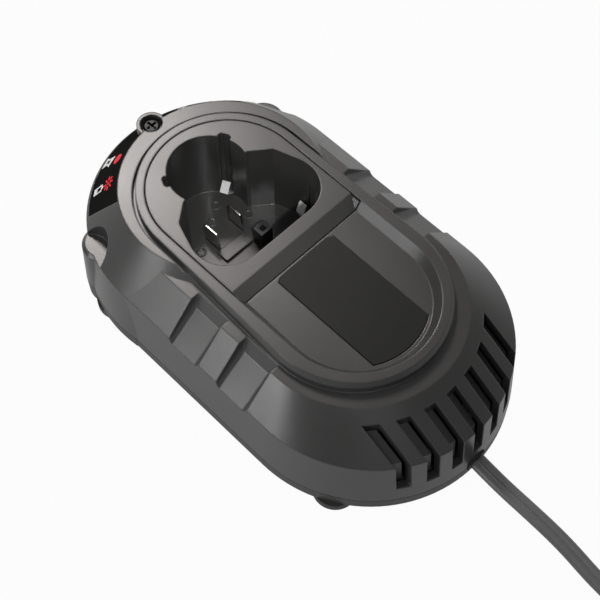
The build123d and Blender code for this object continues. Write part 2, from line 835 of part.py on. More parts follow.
with BuildPart() as vent_baffle:
    add(hollow(skin_drop + fit, wall + fit, roof_height))
    add(
        hollow(skin_drop + fit + 1.4 * baffle_thickness, wall + fit + baffle_thickness, roof_height),
        mode=Mode.SUBTRACT,
    )
    add(comb.part, mode=Mode.INTERSECT)

with BuildPart() as top_screw:
    head_seat = boss_height - counterbore_depth
    with Locations((boss_x, 0)):
        standing(top_head_radius, head_seat, head_seat + top_head_height)
        standing(case_shank_radius, top_screw_tip, head_seat)
    fillet(top_screw.edges().sort_by(Axis.Z)[-1], top_head_height / 3)
    with Locations((boss_x, 0, head_seat + top_head_height)):
        Box(*cross_slot, mode=Mode.SUBTRACT)
        with Locations(Rotation(0, 0, 90)):
            Box(*cross_slot, mode=Mode.SUBTRACT)

with BuildPart() as case_screws:
    head_top = base_height + foot_sink + case_head_height + fit
    with Locations(*foot_places):
        standing(case_head_radius, head_top - case_head_height, head_top)
        standing(case_shank_radius, head_top, base_height + case_screw_length)

feet = {}
for name, place in zip(("front_left", "front_right", "rear_left", "rear_right"), foot_places):
    with BuildPart() as foot:
        with Locations(place):
            standing(foot_radius, 0, base_height + foot_sink)
        fillet(foot.edges().filter_by(GeomType.CIRCLE).sort_by(Axis.Z)[0], foot_round)
    feet["foot_" + name] = foot

# Circuit board and what stands on it
with BuildPart() as circuit_board:
    with BuildSketch(Plane.XY.offset(board_bottom)):
        RectangleRounded(board_length, board_width, board_corner)
        with Locations(*standoffs):
            Circle(small_shank_radius + seat, mode=Mode.SUBTRACT)
        with Locations(*foot_places):
            Circle(lower_post_radius + fit, mode=Mode.SUBTRACT)
    extrude(amount=board_thickness)

with BuildPart() as board_screws:
    with Locations(*standoffs):
        standing(small_head_radius, board_top, board_top + small_head_height)
        standing(small_shank_radius, base_height + fit, board_top)

with BuildPart() as terminal_holder:
    holder_x = (blade_foot[0] + blade_foot[1]) / 2
    with Locations((holder_x, 0, board_top)):
        Box(
            blade_foot[1] - blade_foot[0] + 2 * wall,
            2 * blade_y + 3 * wall,
            cup_floor - cup_floor_thickness - board_top,
            align=(Align.CENTER, Align.CENTER, Align.MIN),
        )
    with Locations((holder_x, blade_y, board_top), (holder_x, -blade_y, board_top)):
        Box(
            blade_foot[1] - blade_foot[0] + 2 * seat,
            blade_thickness + 2 * seat,
            3 * wall,
            mode=Mode.SUBTRACT,
        )

blades = {}
for name, side in (("contact_blade_positive", 1), ("contact_blade_negative", -1)):
    with BuildPart() as blade:
        with BuildSketch(Plane.XZ.offset(-side * blade_y - blade_thickness / 2)):
            Polygon(
                (blade_foot[0], board_top),
                (blade_foot[0], cup_floor + blade_thickness),
                (blade_tip[0], contact_height),
                (blade_tip[1], contact_height),
                (blade_foot[1], cup_floor + blade_thickness),
                (blade_foot[1], board_top),
                align=None,
            )
        extrude(amount=blade_thickness)
        chamfer(
            blade.edges().group_by(Axis.Z)[-1].filter_by(Axis.X),
            blade_thickness / 4,
        )
    blades[name] = blade

with BuildPart() as sensor_socket:
    with BuildSketch(Plane.XY.offset(cup_floor)):
        with Locations((post_x, post_y)):
            Rectangle(*post_size)
            Rectangle(post_hole, post_hole, mode=Mode.SUBTRACT)
    extrude(amount=contact_height - cup_floor)


def leaf(profile):
    """Outline of a bent leaf spring standing on the well's floor."""
    front = [(reach - leaf_thickness, cup_floor + rise) for reach, rise in profile]
    back = [(reach, cup_floor + rise) for reach, rise in profile]
    return back + front[::-1]


# Leaf springs that grip the battery's stem, one in each keyway
clips = {}
for name, turn in (("keyway_clip_left", keyway_angle), ("keyway_clip_right", -keyway_angle)):
    out = Plane(
        origin=(rear_lobe_x, 0, 0),
        x_dir=(cos(radians(turn)), sin(radians(turn)), 0),
        z_dir=(sin(radians(turn)), -cos(radians(turn)), 0),
    )
    with BuildPart() as clip:
        with BuildSketch(out.offset(-clip_width / 2)):
            Polygon(*leaf(clip_profile), align=None)
        extrude(amount=clip_width)
    clips[name] = clip

# Signal springs against the walls of the front lobes
springs = {}
for name, side in (("signal_spring_left", 1), ("signal_spring_right", -1)):
    with BuildPart() as spring:
        with BuildSketch(Plane.YZ.offset(spring_x - spring_width / 2)):
            Polygon(*[(side * y, z) for y, z in leaf(spring_profile)], align=None)
        extrude(amount=spring_width)
    springs[name] = spring

with BuildPart() as led_board:
    with BuildSketch(Plane.XY.offset(led_board_height)):
        with Locations((-end_offset, 0)):
            Circle(led_board_radii[1])
            Circle(led_board_radii[0], mode=Mode.SUBTRACT)
        with BuildLine():
            reach = 2 * led_board_radii[1]
            far = (-end_offset - reach, reach * sin(radians(led_board_angle)) / cos(radians(led_board_angle)))
            Polyline((-end_offset, 0), far, (far[0], -far[1]), close=True)
        make_face(mode=Mode.INTERSECT)
        with Locations((boss_x, 0)):
            Circle(boss_neck_radius + seat, mode=Mode.SUBTRACT)
    extrude(amount=led_board_thickness)

with BuildPart() as status_leds:
    with Locations(*led_places):
        standing(led_radius, led_board_top, led_board_top + led_length - led_radius)
    with Locations(*[(x, y, led_board_top + led_length - led_radius) for x, y in led_places]):
        Sphere(led_radius)

with BuildPart() as transformer_core:
    with Locations((*transformer_place, board_top)):
        Box(*core_size, align=(Align.CENTER, Align.CENTER, Align.MIN))
    core_window = (core_size[0] - 3 * core_limb) / 2
    with Locations((*transformer_place, board_top + core_size[2] / 2)):
        with GridLocations(core_limb + core_window, 1, 2, 1):
            Box(core_window, 2 * core_size[1], core_size[2] - 2 * core_limb, mode=Mode.SUBTRACT)

with BuildPart() as transformer_winding:
    with Locations((*transformer_place, board_top + core_size[2] / 2)):
        Box(
            core_limb + 2 * core_window - 2 * seat,
            core_size[1] + 2 * winding_overhang,
            core_size[2] - 2 * core_limb - 2 * seat,
        )
        fillet(transformer_winding.edges().filter_by(Axis.Z), winding_overhang / 2)
        Box(core_limb + 2 * seat, core_size[1] + 2 * seat, core_size[2], mode=Mode.SUBTRACT)

capacitors = {}
for name, place, radius, height in capacitor_list:
    with BuildPart() as can:
        with Locations(place):
            standing(radius, board_top, board_top + height)
        fillet(can.edges().filter_by(GeomType.CIRCLE), radius / 10)
    capacitors[name] = can

with BuildPart() as heatsink:
    with Locations((*heatsink_place, board_top)):
        Box(heatsink_size[0], fin_thickness, heatsink_size[1], align=(Align.CENTER, Align.CENTER, Align.MIN))
        with Locations((0, (fin_thickness + fin_depth) / 2, 0)):
            with GridLocations(fin_pitch, 1, fin_count, 1):
                Box(fin_thickness, fin_depth, heatsink_size[1], align=(Align.CENTER, Align.CENTER, Align.MIN))

with BuildPart() as power_transistor:
    with Locations((heatsink_place[0], heatsink_place[1] - fin_thickness / 2, board_top)):
        Box(*transistor_size, align=(Align.CENTER, Align.MAX, Align.MIN))

with BuildPart() as choke:
    with Locations((*choke_place, board_top + choke_section)):
        Torus(choke_radius, choke_section)

with BuildPart() as suppressor_capacitor:
    with Locations((*suppressor_place, board_top)):
        Box(*suppressor_size, align=(Align.CENTER, Align.CENTER, Align.MIN))
    fillet(suppressor_capacitor.edges().filter_by(Axis.Z), suppressor_size[1] / 8)

with BuildPart() as controller_chip:
    with Locations((*chip_place, board_top)):
        Box(*chip_size, align=(Align.CENTER, Align.CENTER, Align.MIN))

with BuildPart() as fuse:
    with Locations(fuse_place):
        standing(fuse_radius, board_top, board_top + fuse_height)

with BuildPart() as mains_terminal:
    with Locations((*terminal_place, board_top)):
        Box(*terminal_size, align=(Align.CENTER, Align.CENTER, Align.MIN))
    with Locations((terminal_place[0] + terminal_size[0] / 2, 0, board_top + lead_lift)):
        with GridLocations(1, lead_spacing, 1, 2):
            Cylinder(lead_radius + seat, 2 * lead_entry, rotation=(0, 90, 0), mode=Mode.SUBTRACT)

# Strain relief and its clamp
with BuildPart() as strain_relief:
    with BuildSketch(Plane.YZ.offset(gland_inner_x)):
        with Locations((0, cord_exit_height)):
            RectangleRounded(*gland_tail, gland_tail[1] / 3)
    extrude(amount=gland_flange_x[0] - gland_inner_x)
    with BuildSketch(Plane.YZ.offset(gland_flange_x[0])):
        with Locations((0, cord_exit_height + gland_flange_lift)):
            RectangleRounded(*gland_flange, gland_flange[1] / 4)
    extrude(amount=gland_flange_x[1] - gland_flange_x[0])
    with BuildSketch(Plane.YZ.offset(gland_flange_x[1])):
        with Locations((0, cord_exit_height)):
            RectangleRounded(*gland_neck, gland_neck[1] / 3)
    extrude(amount=gland_end_x - gland_flange_x[1])

with BuildPart() as cord_clamp:
    with Locations((clamp_x, 0, inner_floor)):
        Box(clamp_width, clamp_span, clamp_height, align=(Align.CENTER, Align.CENTER, Align.MIN))
    fillet(cord_clamp.edges().filter_by(Axis.X).group_by(Axis.Z)[-1], clamp_height / 4)
    with Locations((clamp_x, 0, inner_floor)):
        Box(
            2 * clamp_width,
            gland_tail[0] + 2 * seat,
            2 * (cord_exit_height - inner_floor + gland_tail[1] / 2 + seat),
            mode=Mode.SUBTRACT,
        )
    with Locations((clamp_x, clamp_screw_y), (clamp_x, -clamp_screw_y)):
        standing(small_shank_radius + seat, inner_floor, 2 * inner_floor + clamp_height, Mode.SUBTRACT)

with BuildPart() as clamp_screws:
    clamp_top = inner_floor + clamp_height
    with Locations((clamp_x, clamp_screw_y), (clamp_x, -clamp_screw_y)):
        standing(small_head_radius, clamp_top, clamp_top + small_head_height)
        standing(small_shank_radius, base_height + fit, clamp_top)


# The two cores of the lead, from the strain relief to the terminal
with BuildPart() as mains_cores:
    for side in (1, -1):
        core_end = terminal_place[0] + terminal_size[0] / 2 - lead_entry + seat
        core_points = [
            (gland_inner_x, side * core_spacing / 2, cord_exit_height),
            (core_mid_x + core_bend, side * core_spacing / 2, cord_exit_height),
            (core_mid_x, side * lead_spacing / 2, board_top + lead_lift),
            (core_end, side * lead_spacing / 2, board_top + lead_lift),
        ]
        with BuildLine(mode=Mode.PRIVATE) as core_path:
            FilletPolyline(*core_points, radius=core_bend)
        with BuildSketch(Plane(origin=core_path.line @ 0, z_dir=core_path.line % 0)):
            Circle(lead_radius)
        sweep(path=core_path.line)

# Free part of the lead, its coil and its plug. The lead lies on the table.
coil_y = -coil_outer_turn
ring_outer = coil_outer_turn + cord_width / 2
ring_inner = coil_inner_turn - cord_width / 2
ring_height_total = cord_height + (coil_layers - 1) * layer_pitch
lead_low = cord_height / 2
lead_top = lead_low + (coil_layers - 1) * layer_pitch
plug_y = coil_y - coil_outer_turn

(near, drift_near), (middle, drift_middle), (far, drift_far) = lead_bends
lead_points = [
    (gland_end_x + seat, 0, cord_exit_height),
    (gland_end_x + near, drift_near, cord_exit_height - (cord_exit_height - lead_low) / 8),
    (gland_end_x + middle, drift_middle, lead_low),
    (gland_end_x + far, drift_far, lead_low),
    (coil_x - lead_entry_x, 0, lead_low),
]
tail_points = [
    (coil_x - before, plug_y + drift, height)
    for (before, drift), height in zip(tail_bends, (lead_top, *tail_heights))
]
tail_points.append((plug_x + cord_joint, plug_y, plug_height / 2))


def flat_lead(points):
    """Solid of the flat lead: straight runs joined by the largest arcs that fit."""
    runs = [Vector(*last) - Vector(*first) for first, last in zip(points, points[1:])]
    radii = [
        0.45 * min(before.length, after.length) / tan(radians(before.get_angle(after)) / 2)
        for before, after in zip(runs, runs[1:])
    ]
    with BuildPart() as tube:
        with BuildLine() as route:
            FilletPolyline(*points, radius=radii)
        with BuildSketch(Plane(origin=route.line @ 0, x_dir=(0, 1, 0), z_dir=route.line % 0)):
            SlotOverall(cord_width, cord_height)
        sweep()
    section = cord_height * (cord_width - cord_height) + pi * cord_height**2 / 4
    length = route.wires()[0].length
    print("lead radii", [round(radius, 1) for radius in radii], "length", round(length, 1))
    print("lead volume", round(tube.part.volume, 1), "section x length", round(section * length, 1))
    return tube.part


with BuildPart() as cord_coil:
    with Locations((coil_x, coil_y)):
        standing(ring_outer, 0, ring_height_total)
    fillet(cord_coil.edges(), cord_height / 2)
    with Locations((coil_x, coil_y)):
        standing(ring_inner, 0, ring_height_total, Mode.SUBTRACT)

with BuildPart() as mains_cord:
    add(flat_lead(lead_points))
    with Locations((coil_x, coil_y)):
        Cylinder(ring_outer, 4 * ring_height_total, mode=Mode.SUBTRACT)

with BuildPart() as cord_tail:
    add(flat_lead(tail_points))
    with Locations((coil_x, coil_y)):
        Cylinder(ring_outer, 4 * ring_height_total, mode=Mode.SUBTRACT)

with BuildPart() as plug_body:
    with BuildSketch():
        Polygon(
            (plug_x, plug_y + cord_width),
            (plug_x, plug_y - cord_width),
            (plug_x - plug_length / 2, plug_y - plug_width / 2),
            (plug_x - plug_length, plug_y - plug_width / 2),
            (plug_x - plug_length, plug_y + plug_width / 2),
            (plug_x - plug_length / 2, plug_y + plug_width / 2),
            align=None,
        )
        fillet(vertices(), plug_corner)
    extrude(amount=plug_height)
    chamfer(plug_body.faces().filter_by(Axis.Z).edges(), plug_chamfer)

with BuildPart() as plug_pins:
    with Locations(
        *[(plug_x - plug_length, plug_y + side * pin_spacing / 2, plug_height / 2) for side in (1, -1)]
    ):
        Cylinder(
            pin_radius,
            pin_length,
            rotation=(0, -90, 0),
            align=(Align.CENTER, Align.CENTER, Align.MIN),
        )
    chamfer(plug_pins.edges().filter_by(GeomType.CIRCLE).group_by(Axis.X)[0], pin_radius / 3)

pieces = {
    "upper_housing": upper_housing,
    "lower_housing": lower_housing,
    "battery_cup": battery_cup,
    "label_plate": label_plate,
    **windows,
    "vent_baffle": vent_baffle,
    "top_screw": top_screw,
    "case_screws": case_screws,
    **feet,
    "circuit_board": circuit_board,
    "board_screws": board_screws,
    "terminal_holder": terminal_holder,
    **blades,
    "sensor_socket": sensor_socket,
    **clips,
    **springs,
    "led_board": led_board,
    "status_leds": status_leds,
    "transformer_core": transformer_core,
    "transformer_winding": transformer_winding,
    **capacitors,
    "heatsink": heatsink,
    "power_transistor": power_transistor,
    "choke": choke,
    "suppressor_capacitor": suppressor_capacitor,
    "fuse": fuse,
    "controller_chip": controller_chip,
    "mains_terminal": mains_terminal,
    "mains_cores": mains_cores,
    "strain_relief": strain_relief,
    "cord_clamp": cord_clamp,
    "clamp_screws": clamp_screws,
    "mains_cord": mains_cord,
    "cord_coil": cord_coil,
    "cord_tail": cord_tail,
    "plug_body": plug_body,
    "plug_pins": plug_pins,
}

os.makedirs("parts", exist_ok=True)
for name, piece in pieces.items():
    piece.part.label = name
    export_step(piece.part, f"parts/{name}.step")
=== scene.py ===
import bpy
import math
from mathutils import Matrix, Vector


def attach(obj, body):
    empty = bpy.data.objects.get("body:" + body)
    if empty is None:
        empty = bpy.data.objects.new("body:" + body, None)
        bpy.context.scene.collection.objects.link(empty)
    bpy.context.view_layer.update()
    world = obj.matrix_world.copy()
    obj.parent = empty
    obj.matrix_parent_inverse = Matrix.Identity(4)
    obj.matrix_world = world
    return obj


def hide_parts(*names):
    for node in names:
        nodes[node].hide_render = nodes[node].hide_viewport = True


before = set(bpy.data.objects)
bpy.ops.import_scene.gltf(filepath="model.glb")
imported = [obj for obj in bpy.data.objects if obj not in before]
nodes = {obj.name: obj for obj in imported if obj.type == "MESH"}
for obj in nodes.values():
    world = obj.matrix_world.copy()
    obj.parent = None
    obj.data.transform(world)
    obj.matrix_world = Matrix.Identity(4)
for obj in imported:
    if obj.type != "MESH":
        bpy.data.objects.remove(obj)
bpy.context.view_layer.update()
print("frame loaded,", len(nodes), "nodes")

# Everything is in metres, in the charger's own frame: the lead leaves at +X, the left side is -Y,
# and the feet stand on Z = 0


def aimAt(thing, target):
    look = Vector(target) - thing.location
    thing.rotation_euler = look.to_track_quat("-Z", "Y").to_euler()


def clearSelection():
    if bpy.context.object and bpy.context.object.mode != "OBJECT":
        bpy.ops.object.mode_set(mode="OBJECT")
    bpy.ops.object.select_all(action="DESELECT")


def selectOnly(piece):
    clearSelection()
    piece.select_set(True)
    bpy.context.view_layer.objects.active = piece


def newCurve(name, dimensions):
    data = bpy.data.curves.new(name, "CURVE")
    data.dimensions = dimensions
    curve = bpy.data.objects.new(name, data)
    bpy.context.collection.objects.link(curve)
    return curve


def addOutline(curve, outline):
    ring = curve.data.splines.new("POLY")
    ring.points.add(len(outline) - 1)
    for point, place in zip(ring.points, outline):
        point.co = (*place, 0, 1)
    ring.use_cyclic_u = True


# Camera

camera = {
    "place": (0.13548, -0.13237, 0.33912),
    "aim": (0.01409, -0.01189, 0.0407),
    "lens": 75.416,
    "sensor": 36,
    "nearest": 0.01,
}


def addCamera(c):
    bpy.ops.object.camera_add(location=c["place"])
    cam = bpy.context.object
    cam.name = "mainCamera"
    aimAt(cam, c["aim"])
    cam.data.lens = c["lens"]
    cam.data.sensor_width = c["sensor"]
    cam.data.clip_start = c["nearest"]
    bpy.context.scene.camera = cam


addCamera(camera)
print("camera placed")


# Mains lead: a flat twin cord that runs out over the table, is wound into a coil and ends in the plug

lead = {
    "width": 0.0052,
    "height": 0.0029,
    "lobeArc": 280,  # degrees of each core's round that stand clear of the web
    "lobePoints": 11,
    "resolution": 6,  # steps from one point of the route to the next
    "out": [
        (0.07335, 0.0, 0.0078),
        (0.082, -0.0007, 0.0076),
        (0.094, -0.0006, 0.007),
        (0.106, -0.0004, 0.0053),
        (0.119, -0.0013, 0.0026),
        (0.132, -0.0012, 0.0016),
        (0.150, 0.0, 0.0016),
    ],
    "back": [
        (0.151, -0.0728, 0.0115),
        (0.143, -0.0729, 0.0108),
        (0.135, -0.0727, 0.008),
        (0.1304, -0.0728, 0.00685),
    ],
    "coilCentre": (0.164, -0.0364),
    "outerTurn": 0.0364,
    "innerTurn": 0.026,
    "bottom": 0.0016,
    "layerPitch": 0.0033,
    "layers": 4,
    "turnsPerLayer": 1.875,
    "pointsPerTurn": 16,
    "climb": 0.14,  # share of a layer's turns in which the cord climbs to the next
}


def coilPoints(c):
    # layers run inwards and outwards by turns, and the last stretch of each climbs to the next
    points = []
    total = int(c["layers"] * c["turnsPerLayer"] * c["pointsPerTurn"])
    reach = 1 / math.cos(math.pi / c["pointsPerTurn"])  # the spline runs inside its points
    for step in range(total + 1):
        turns = step / c["pointsPerTurn"]
        layer = min(int(turns / c["turnsPerLayer"]), c["layers"] - 1)
        share = turns / c["turnsPerLayer"] - layer
        inward = share if layer % 2 == 0 else 1 - share
        radius = c["outerTurn"] + (c["innerTurn"] - c["outerTurn"]) * inward
        lift = max(0, (share - 1 + c["climb"]) / c["climb"]) if layer < c["layers"] - 1 else 0
        height = c["bottom"] + c["layerPitch"] * (layer + lift)
        angle = math.pi / 2 - turns * 2 * math.pi
        points.append((
            c["coilCentre"][0] + radius * reach * math.cos(angle),
            c["coilCentre"][1] + radius * reach * math.sin(angle),
            height,
        ))
    return points


def leadRoute(c):
    points = c["out"] + coilPoints(c) + c["back"]
    route = newCurve("leadRoute", "3D")
    route.data.resolution_u = c["resolution"]
    line = route.data.splines.new("NURBS")
    line.points.add(len(points) - 1)
    for point, place in zip(line.points, points):
        point.co = (*place, 1)
    line.order_u = 3
    line.use_endpoint_u = True
    return route


def twinOutline(c):
    # two round cores side by side, with a web between them
    half = c["height"] / 2
    lobe = (c["width"] - c["height"]) / 2
    outline = []
    for side, first in ((1, c["lobeArc"] / 2), (-1, c["lobeArc"] / 2 - 180)):
        for step in range(c["lobePoints"]):
            angle = math.radians(first - c["lobeArc"] * step / (c["lobePoints"] - 1))
            outline.append((side * lobe + half * math.cos(angle), half * math.sin(angle)))
    return outline


def makeLead(c):
    piece = leadRoute(c)
    line = bpy.data.meshes.new_from_object(piece)
    path = [v.co.copy() for v in line.vertices]
    bpy.data.meshes.remove(line)
    profile = newCurve("leadProfile", "2D")
    addOutline(profile, twinOutline(c))
    piece.data.twist_mode = "Z_UP"
    piece.data.bevel_mode = "OBJECT"
    piece.data.bevel_object = profile
    piece.data.use_fill_caps = True
    selectOnly(piece)
    bpy.ops.object.convert(target="MESH")
    bpy.data.objects.remove(profile)
    piece.name = "mainsLead"
    bpy.ops.object.shade_smooth()
    length = sum((b - a).length for a, b in zip(path, path[1:]))
    print("lead is", round(length, 3), "m long, in", len(path), "points")
    return piece, path, length


cord, cordPath, cordLength = makeLead(lead)
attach(cord, "root")
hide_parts("mains_cord", "cord_coil", "cord_tail")
print("lead laid")


# Pictograms printed on the two indicator windows, which lie on a cone round the well's axis

pictograms = {
    "axis": (-0.0302, 0.0),
    "footRadius": 0.04105,
    "footHeight": 0.0263,
    "fall": 1.2258,  # height lost for each unit of radius
    "sink": 0.00015,  # how far a window lies below the cone
    "inkDepth": 0.0001,
    "merge": 0.000001,  # points closer than this become one
    "roundCorners": 28,
    "dot": 0.00186,
    "burstHub": 0.0005,
    "burstRadius": 0.0024,
    "burstRays": 8,
    "rayWidth": 0.0006,
    "battery": (0.0024, 0.0044),
    "cap": (0.001, 0.0006),
    "stroke": 0.0004,
    "charge": 0.0011,  # height of the filled part of the battery
    "chargeInset": 0.0006,
    "bolt": [
        (-0.0014, 0.003),
        (-0.0012, 0.0),
        (-0.0022, -0.0024),
        (0.0019, -0.0026),
        (0.0012, 0.0),
        (0.0027, 0.0022),
    ],
    "boltHole": 0.5,  # size of the open middle, as a share of the bolt
}

# radius is the distance from the cone's axis, and angle is from the rear towards the left, in degrees
pictogramPlaces = [
    {"name": "readyDot", "shape": "dot", "ink": "redInk",
     "side": "left", "radius": 0.03362, "angle": 24.8},
    {"name": "chargeBolt", "shape": "bolt", "ink": "whiteInk",
     "side": "left", "radius": 0.0379, "angle": 23.0},
    {"name": "waitBurst", "shape": "burst", "ink": "redInk",
     "side": "left", "radius": 0.0338, "angle": 40.1},
    {"name": "fullBattery", "shape": "battery", "ink": "whiteInk",
     "side": "left", "radius": 0.0375, "angle": 39.8},
    {"name": "lowBattery", "shape": "battery", "ink": "whiteInk",
     "side": "right", "radius": 0.0334, "angle": -21.5},
    {"name": "hotBattery", "shape": "battery", "ink": "whiteInk",
     "side": "right", "radius": 0.0334, "angle": -40.5},
]


def roundOutline(radius, corners):
    turn = 2 * math.pi / corners
    return [(radius * math.cos(turn * k), radius * math.sin(turn * k)) for k in range(corners)]


def boxOutline(width, height, low):
    side = width / 2
    return [(-side, low), (side, low), (side, low + height), (-side, low + height)]


def burstOutlines(c):
    # round hub, and rays that begin one hub radius away from it
    outlines = [roundOutline(c["burstHub"], c["roundCorners"])]
    rayStart = 2 * c["burstHub"]
    ray = boxOutline(c["rayWidth"], c["burstRadius"] - rayStart, rayStart)
    for k in range(c["burstRays"]):
        turn = 2 * math.pi * k / c["burstRays"]
        outlines.append([
            (x * math.cos(turn) - y * math.sin(turn), x * math.sin(turn) + y * math.cos(turn))
            for x, y in ray
        ])
    return outlines


def batteryOutlines(c):
    # case, its open inside, the charge in it and the cap on top
    width, height = c["battery"]
    stroke = c["stroke"]
    inset = c["chargeInset"]
    low = -height / 2
    return [
        boxOutline(width, height, low),
        boxOutline(width - 2 * stroke, height - 2 * stroke, low + stroke),
        boxOutline(width - 2 * inset, c["charge"], low + inset),
        boxOutline(*c["cap"], low + height),
    ]


def pictogramOutlines(shape, c):
    if shape == "dot":
        return [roundOutline(c["dot"], c["roundCorners"])]
    if shape == "burst":
        return burstOutlines(c)
    if shape == "battery":
        return batteryOutlines(c)
    return [c["bolt"], [(x * c["boltHole"], y * c["boltHole"]) for x, y in c["bolt"]]]


def printedShape(name, shape, c):
    piece = newCurve(name, "2D")
    piece.data.fill_mode = "BOTH"
    piece.data.extrude = c["inkDepth"]
    for outline in pictogramOutlines(shape, c):
        addOutline(piece, outline)
    selectOnly(piece)
    bpy.ops.object.convert(target="MESH")
    bpy.ops.object.mode_set(mode="EDIT")
    bpy.ops.mesh.select_all(action="SELECT")
    bpy.ops.mesh.remove_doubles(threshold=c["merge"])
    bpy.ops.mesh.normals_make_consistent(inside=False)
    bpy.ops.object.mode_set(mode="OBJECT")
    return bpy.context.object


def setOnCone(piece, spot, c):
    angle = math.radians(spot["angle"])
    slope = math.atan(c["fall"])
    outward = Vector((-math.cos(angle), -math.sin(angle), 0))
    across = Vector((math.sin(angle), -math.cos(angle), 0))
    uphill = Vector((0, 0, math.sin(slope))) - outward * math.cos(slope)
    turn = Matrix((across, uphill, across.cross(uphill))).transposed().to_4x4()
    height = c["footHeight"] + (c["footRadius"] - spot["radius"]) * c["fall"] - c["sink"]
    place = Vector((*c["axis"], height)) + outward * spot["radius"]
    piece.matrix_world = Matrix.Translation(place) @ turn
    selectOnly(piece)
    bpy.ops.object.transform_apply(location=True, rotation=True, scale=True)


printed = []
for spot in pictogramPlaces:
    piece = printedShape(spot["name"], spot["shape"], pictograms)
    setOnCone(piece, spot, pictograms)
    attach(piece, "root")
    printed.append((piece, spot["ink"]))
print(len(printed), "pictograms printed on the windows")


# Steps that the materials share

def newMaterial(name):
    mat = bpy.data.materials.new(name)
    mat.use_nodes = True
    return mat, mat.node_tree.nodes, mat.node_tree.links, mat.node_tree.nodes["Principled BSDF"]


def addNoise(tree, links, source, scale, detail, roughness):
    noise = tree.new("ShaderNodeTexNoise")
    noise.inputs["Scale"].default_value = scale
    noise.inputs["Detail"].default_value = detail
    noise.inputs["Roughness"].default_value = roughness
    links.new(source, noise.inputs["Vector"])
    return noise


def addRamp(tree, links, source, span, lowColour, highColour):
    ramp = tree.new("ShaderNodeValToRGB")
    for element, position, colour in zip(ramp.color_ramp.elements, span, (lowColour, highColour)):
        element.position = position
        element.color = (*colour, 1)
    links.new(source, ramp.inputs["Fac"])
    return ramp


def addRange(tree, links, source, low, high):
    span = tree.new("ShaderNodeMapRange")
    span.inputs["To Min"].default_value = low
    span.inputs["To Max"].default_value = high
    links.new(source, span.inputs["Value"])
    return span


def addRounding(tree, radius, samples):
    rounding = tree.new("ShaderNodeBevel")
    rounding.samples = samples
    rounding.inputs["Radius"].default_value = radius
    return rounding


def addBump(tree, links, shader, height, strength, depth):
    bump = tree.new("ShaderNodeBump")
    bump.inputs["Strength"].default_value = strength
    bump.inputs["Distance"].default_value = depth
    links.new(height, bump.inputs["Height"])
    links.new(bump.outputs["Normal"], shader.inputs["Normal"])
    return bump


# Plastics and rubbers: a spark-eroded texture in the mould, rubbed along the edges

moulding = {
    "patchScale": 45.0,  # broad, faint patches of lighter and darker colour
    "patchRoughness": 0.5,
    "patchRange": (0.3, 0.7),
    "grainRoughness": 0.55,
    "grainDepth": 0.00006,
    "detail": 3.0,
    "edgeSamples": 6,
    "rubbedFully": 0.9,  # cosine between the rounded and the flat normal where the wear is full
    "roughSpread": 0.05,
    "specular": 0.5,
}

plastics = {
    "housingPlastic": {
        "colour": (0.046, 0.045, 0.0445), "mottle": 0.05, "grain": 2600.0, "bump": 0.35,
        "edge": 0.0006, "rough": 0.3, "rubbed": 1.5,
    },
    "basePlastic": {
        "colour": (0.043, 0.0415, 0.0405), "mottle": 0.05, "grain": 2600.0, "bump": 0.3,
        "edge": 0.0004, "rough": 0.5, "rubbed": 1.5,
    },
    "cupPlastic": {
        "colour": (0.044, 0.0425, 0.0415), "mottle": 0.05, "grain": 2600.0, "bump": 0.3,
        "edge": 0.0005, "rough": 0.3, "rubbed": 1.5,
    },
    "innerPlastic": {
        "colour": (0.02, 0.02, 0.02), "mottle": 0.05, "grain": 1800.0, "bump": 0.3,
        "edge": 0.0003, "rough": 0.5, "rubbed": 1.4,
    },
    "bafflePlastic": {
        "colour": (0.036, 0.035, 0.034), "mottle": 0.05, "grain": 2600.0, "bump": 0.3,
        "edge": 0.0003, "rough": 0.4, "rubbed": 1.5,
    },
    "labelPlastic": {
        "colour": (0.004, 0.0043, 0.004), "mottle": 0.08, "grain": 1200.0, "bump": 0.08,
        "edge": 0.0002, "rough": 0.5, "rubbed": 1.6, "specular": 0.25,
    },
    "windowPlastic": {
        "colour": (0.012, 0.0122, 0.012), "mottle": 0.1, "grain": 500.0, "bump": 0.01,
        "edge": 0.0002, "rough": 0.12, "rubbed": 1.2, "specular": 0.0,
    },
    "footRubber": {
        "colour": (0.043, 0.0415, 0.0405), "mottle": 0.1, "grain": 1600.0, "bump": 0.3,
        "edge": 0.0003, "rough": 0.6, "rubbed": 1.3,
    },
    "glandRubber": {
        "colour": (0.02, 0.02, 0.02), "mottle": 0.1, "grain": 1600.0, "bump": 0.2,
        "edge": 0.0003, "rough": 0.55, "rubbed": 1.3,
    },
    "plugPlastic": {
        "colour": (0.03, 0.03, 0.03), "mottle": 0.08, "grain": 2200.0, "bump": 0.3,
        "edge": 0.0008, "rough": 0.5, "rubbed": 1.4,
    },
    "cordPlastic": {
        "colour": (0.14, 0.14, 0.142), "mottle": 0.06, "grain": 1400.0, "bump": 0.15,
        "edge": 0.00005, "rough": 0.32, "rubbed": 1.1,
    },
}


